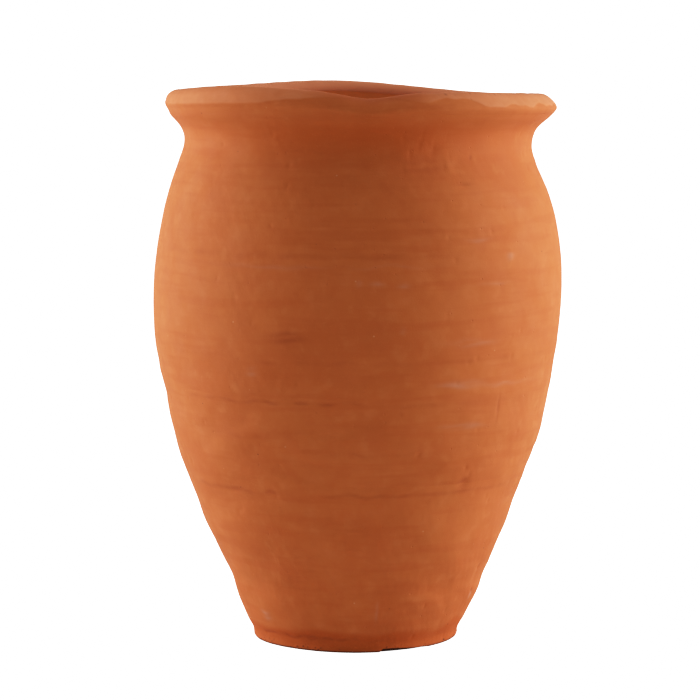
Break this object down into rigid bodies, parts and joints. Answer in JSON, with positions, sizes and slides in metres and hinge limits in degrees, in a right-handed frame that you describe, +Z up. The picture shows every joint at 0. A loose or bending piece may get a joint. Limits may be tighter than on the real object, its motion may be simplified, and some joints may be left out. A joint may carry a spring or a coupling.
{
  "type": "terracotta jar",
  "caption": "Wide-mouthed terracotta urn with a round belly, short hollow neck, flared rolled rim and small flat foot; no handles.",
  "frame": {"origin": "centre of the foot's flat underside", "axes": "+Z up along the jar's axis, out of the mouth; -Y is the side seen in front"},
  "size_m": [0.2232, 0.2232, 0.3],
  "materials": {
    "terracotta": "matte"
  },
  "bodies": {
    "root": {"foot_slab": "terracotta", "lower_wall": "terracotta", "middle_wall": "terracotta", "belly_wall": "terracotta", "neck_wall": "terracotta", "rim_roll": "terracotta"}
  },
  "joints": []
}
